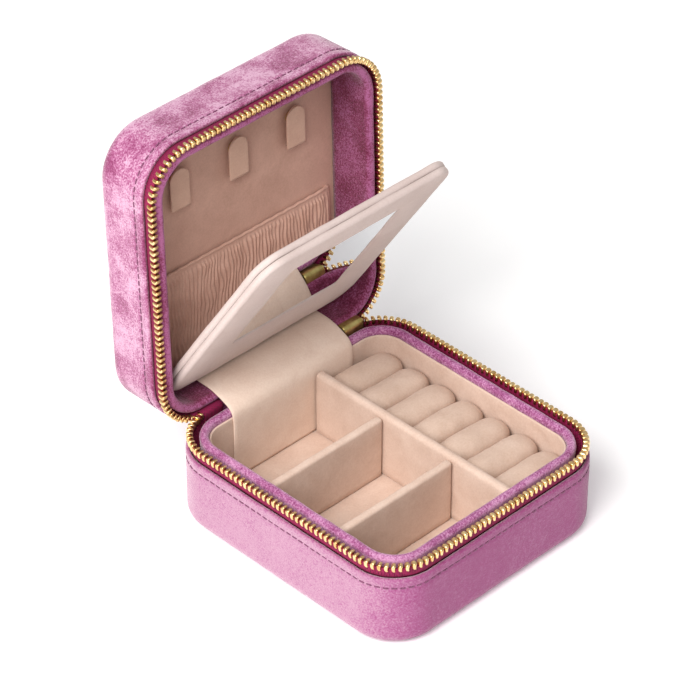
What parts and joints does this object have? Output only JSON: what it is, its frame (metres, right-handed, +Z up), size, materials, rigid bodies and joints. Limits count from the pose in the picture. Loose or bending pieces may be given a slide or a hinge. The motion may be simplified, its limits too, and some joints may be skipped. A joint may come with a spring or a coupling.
{
  "type": "travel jewelry case",
  "caption": "Square zipped velvet jewelry case with a suede tray, ring rolls, necklace tabs, pocket and a padded mirror flap in the lid.",
  "frame": {"origin": "centre of the flat underside of the base", "axes": "+Z up, +X along the hinge, -Y towards the side that opens, +Y towards the hinge"},
  "size_m": [0.1014, 0.1326, 0.1358],
  "materials": {
    "velvet_outer": "crushed velvet with light and dark patches of pile, single stitch line below the zip",
    "velvet_rim": "velvet, tightly wrapped over a rounded frame",
    "suede": "fine beige microsuede",
    "suede_flap": "fine pinkish beige microsuede, padded",
    "board": "grey-brown stiff board",
    "foam": "soft foam wrapped in suede",
    "zip_tape": "crimson woven tape",
    "zip_brass": "polished pale brass",
    "slider_brass": "satin antique brass",
    "snap_brass": "plain stamped brass",
    "elastic": "woven elastic",
    "mirror": "silvered glass"
  },
  "bodies": {
    "base": {"base_velvet_wall": "velvet_outer", "base_bottom_cover": "velvet_outer", "spine_base": "velvet_outer", "base_inner_frame": "velvet_rim", "base_wall_lining": "suede", "base_floor_lining": "suede", "long_divider": "suede", "cross_divider_rear": "suede", "cross_divider_front": "suede", "ring_roll_1": "suede", "ring_roll_2": "suede", "ring_roll_3": "suede", "ring_roll_4": "suede", "ring_roll_5": "suede", "ring_roll_6": "suede", "ring_roll_7": "suede", "hinge_strip_base": "suede", "base_bottom_board": "board", "base_wall_board": "board", "ring_cushion": "foam", "base_zip_tape": "zip_tape", "base_zip_teeth": "zip_brass", "zip_bottom_stop": "zip_brass", "zip_top_stop_base": "zip_brass", "zip_slider": "slider_brass"},
    "zip_pull": {"zip_pull": "slider_brass"},
    "lid": {"spine_lid": "velvet_outer", "lid_velvet_wall": "velvet_outer", "lid_top_cover": "velvet_outer", "lid_inner_frame": "velvet_rim", "hinge_strip_lid": "suede", "lid_panel": "suede", "lid_pocket": "suede", "lid_top_board": "board", "lid_wall_board": "board", "lid_zip_tape": "zip_tape", "lid_zip_teeth": "zip_brass", "zip_top_stop_lid": "zip_brass", "snap_stud_1": "snap_brass", "snap_stud_2": "snap_brass", "snap_stud_3": "snap_brass", "pocket_elastic": "elastic"},
    "mirror_flap": {"flap_strip": "suede_flap", "flap_front_pad": "suede_flap", "flap_board": "board", "flap_back_pad": "suede_flap", "mirror_glass": "mirror"},
    "necklace_tab_1": {"necklace_tab_1": "suede", "snap_socket_1": "snap_brass"},
    "necklace_tab_2": {"necklace_tab_2": "suede", "snap_socket_2": "snap_brass"},
    "necklace_tab_3": {"necklace_tab_3": "suede", "snap_socket_3": "snap_brass"}
  },
  "joints": [
    {"name": "lid_hinge", "type": "hinge", "parent": "base", "child": "lid", "pos_m": [0, 0.0503, 0.0326], "axis": [-1, 0, 0], "range_deg": [-91.67, 5]},
    {"name": "flap_hinge", "type": "hinge", "parent": "lid", "child": "mirror_flap", "pos_m": [0, 0.06381, 0.03601], "axis": [1, 0, 0], "range_deg": [-34.7, 1.89]},
    {"name": "tab_1_open", "type": "hinge", "parent": "lid", "child": "necklace_tab_1", "pos_m": [-0.0247, 0.06897, 0.09998], "axis": [1, 0, 0], "range_deg": [0, 110]},
    {"name": "tab_2_open", "type": "hinge", "parent": "lid", "child": "necklace_tab_2", "pos_m": [0.0008, 0.06897, 0.09998], "axis": [1, 0, 0], "range_deg": [0, 110]},
    {"name": "tab_3_open", "type": "hinge", "parent": "lid", "child": "necklace_tab_3", "pos_m": [0.0263, 0.06897, 0.09998], "axis": [1, 0, 0], "range_deg": [0, 110]},
    {"name": "pull_swing", "type": "hinge", "parent": "base", "child": "zip_pull", "pos_m": [0.033, 0.054, 0.0309], "axis": [1, 0, 0], "range_deg": [0, 35]}
  ],
  "couplings": [
    {"joint": "flap_hinge", "follows": "lid_hinge", "ratio": 0.37853}
  ]
}
